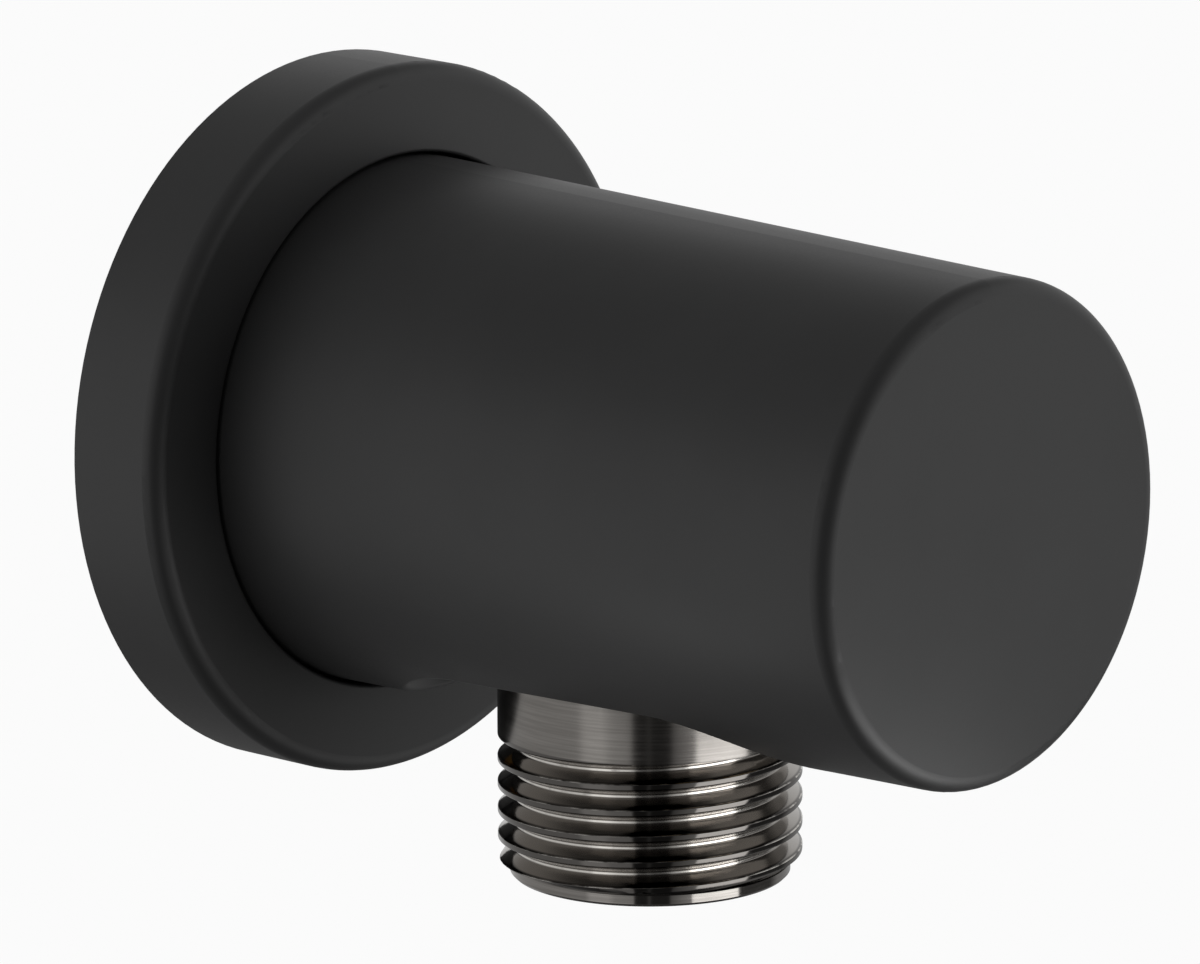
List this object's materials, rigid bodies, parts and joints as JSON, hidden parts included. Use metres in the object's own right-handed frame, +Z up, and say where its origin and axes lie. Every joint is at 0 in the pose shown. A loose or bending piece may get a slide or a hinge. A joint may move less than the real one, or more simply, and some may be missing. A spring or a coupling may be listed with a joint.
{
  "type": "wall outlet elbow",
  "caption": "Matte black wall outlet elbow with a round flange, a tapered barrel and a threaded nipple pointing down, which feeds water from the wall to a shower hose.",
  "frame": {"origin": "centre of the flange's wall face, on the barrel's axis", "axes": "+Y into the wall along the barrel's axis, -Y out of the wall, +Z up, outlet along -Z"},
  "size_m": [0.05, 0.0719, 0.0533],
  "materials": {
    "painted_brass": "matte",
    "dark_nickel": "brushed",
    "raw_brass": "satin",
    "seal_rubber": "satin",
    "foam_rubber": "matte",
    "screw_steel": "satin",
    "valve_plastic": "satin",
    "poppet_plastic": "satin"
  },
  "bodies": {
    "outlet": {"wall_flange": "painted_brass", "flange_grip_ring": "seal_rubber", "flange_wall_seal": "foam_rubber", "barrel_sleeve": "painted_brass", "inner_elbow": "raw_brass", "wall_connector": "raw_brass", "connector_ring_rear": "seal_rubber", "connector_ring_front": "seal_rubber", "sleeve_ring_rear": "seal_rubber", "sleeve_ring_front": "seal_rubber", "locking_screw": "screw_steel", "outlet_nipple": "dark_nickel", "outlet_nipple_ring": "seal_rubber", "valve_housing": "valve_plastic", "valve_housing_ring": "seal_rubber", "valve_guide": "valve_plastic", "valve_spring": "screw_steel"},
    "poppet": {"valve_poppet": "poppet_plastic", "poppet_seal": "seal_rubber"}
  },
  "joints": [
    {"name": "poppet_travel", "type": "slide", "parent": "outlet", "child": "poppet", "axis": [0, 0, -1], "range_m": [0, 0.002], "stiffness_N_per_m": 200, "springref_m": -0.0012, "deforming": ["valve_spring"]}
  ]
}
